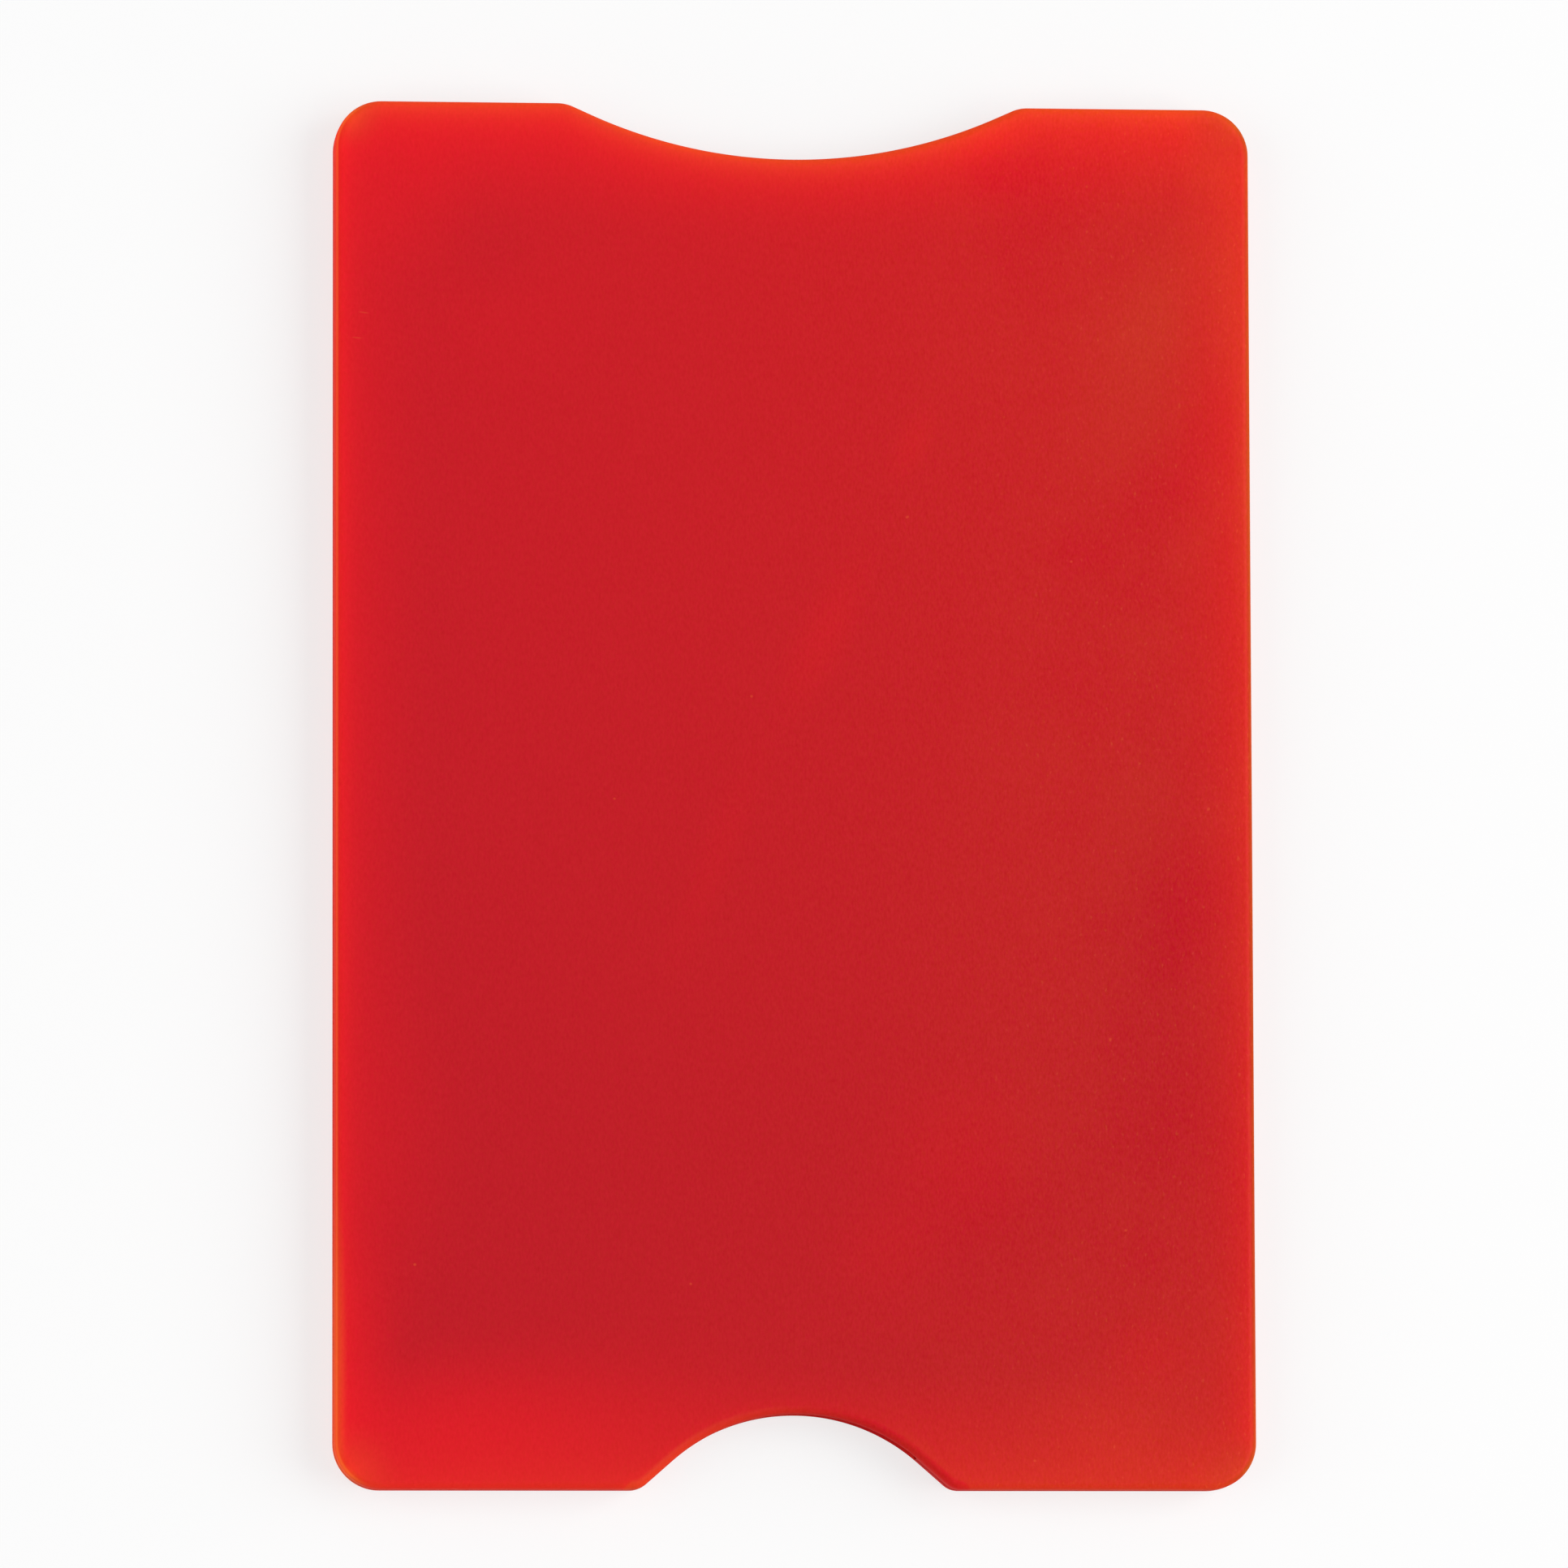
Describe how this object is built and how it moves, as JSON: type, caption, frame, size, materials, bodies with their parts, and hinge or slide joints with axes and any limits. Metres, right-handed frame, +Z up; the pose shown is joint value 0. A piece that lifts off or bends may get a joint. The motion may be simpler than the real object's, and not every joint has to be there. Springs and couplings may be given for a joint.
{
  "type": "rfid card holder",
  "caption": "Slim hard plastic sleeve for a payment card, translucent red, foil lined, open at one short end, with a wide finger notch at the mouth and a thumb notch at the closed end",
  "frame": {"origin": "middle of the rear face, which is the face it lies on, at the centre of the case across and along", "axes": "+X across the case, +Y along it towards the mouth with the wide notch, +Z up out of the front face"},
  "size_m": [0.059, 0.089, 0.0034],
  "materials": {
    "red_plastic": "translucent red styrene with a satin moulded surface, brighter and more orange along its edges",
    "shield_foil": "thin rolled foil, slightly uneven where it was pressed down",
    "foil_adhesive": "clear film of acrylic adhesive"
  },
  "bodies": {
    "root": {"front_shell": "red_plastic", "rear_shell": "red_plastic", "front_shield_foil": "shield_foil", "rear_shield_foil": "shield_foil", "front_foil_adhesive": "foil_adhesive", "rear_foil_adhesive": "foil_adhesive"}
  },
  "joints": []
}
